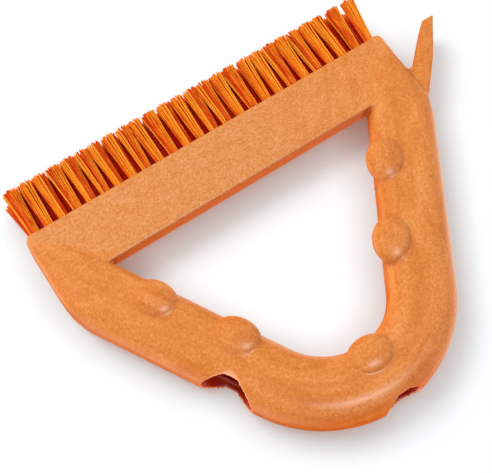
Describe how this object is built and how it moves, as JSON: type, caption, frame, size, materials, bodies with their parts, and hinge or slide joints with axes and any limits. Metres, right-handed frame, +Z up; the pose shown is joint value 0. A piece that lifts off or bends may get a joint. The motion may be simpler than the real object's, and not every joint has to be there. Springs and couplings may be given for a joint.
{
  "type": "grout brush",
  "caption": "Hand brush for tile joints: straight bar of stiff bristle tufts, rounded triangular loop handle with grip knobs, hooked scraper finger and blind sockets for a pole.",
  "frame": {"origin": "under the middle of the whole brush, on the plane it lies on", "axes": "+X along the brush bar towards the scraper finger, +Y towards the bristle tips, +Z up from the plane it lies on"},
  "size_m": [0.2294, 0.1797, 0.0309],
  "materials": {
    "foamed_plastic": "mottled structural foam, satin skin",
    "bristle": "stiff polypropylene filaments",
    "anchor_steel": "galvanised strip"
  },
  "bodies": {
    "root": {"handle_body": "foamed_plastic", "tuft_anchors_back": "anchor_steel", "tuft_anchors_front": "anchor_steel", "tuft_anchors_middle": "anchor_steel", "tuft_back_01": "bristle", "tuft_back_02": "bristle", "tuft_back_03": "bristle", "tuft_back_04": "bristle", "tuft_back_05": "bristle", "tuft_back_06": "bristle", "tuft_back_07": "bristle", "tuft_back_08": "bristle", "tuft_back_09": "bristle", "tuft_back_10": "bristle", "tuft_back_11": "bristle", "tuft_back_12": "bristle", "tuft_back_13": "bristle", "tuft_back_14": "bristle", "tuft_back_15": "bristle", "tuft_back_16": "bristle", "tuft_back_17": "bristle", "tuft_back_18": "bristle", "tuft_back_19": "bristle", "tuft_back_20": "bristle", "tuft_back_21": "bristle", "tuft_back_22": "bristle", "tuft_back_23": "bristle", "tuft_back_24": "bristle", "tuft_back_25": "bristle", "tuft_back_26": "bristle", "tuft_front_01": "bristle", "tuft_front_02": "bristle", "tuft_front_03": "bristle", "tuft_front_04": "bristle", "tuft_front_05": "bristle", "tuft_front_06": "bristle", "tuft_front_07": "bristle", "tuft_front_08": "bristle", "tuft_front_09": "bristle", "tuft_front_10": "bristle", "tuft_front_11": "bristle", "tuft_front_12": "bristle", "tuft_front_13": "bristle", "tuft_front_14": "bristle", "tuft_front_15": "bristle", "tuft_front_16": "bristle", "tuft_front_17": "bristle", "tuft_front_18": "bristle", "tuft_front_19": "bristle", "tuft_front_20": "bristle", "tuft_front_21": "bristle", "tuft_front_22": "bristle", "tuft_front_23": "bristle", "tuft_front_24": "bristle", "tuft_front_25": "bristle", "tuft_front_26": "bristle", "tufts_middle": "bristle"}
  },
  "joints": []
}
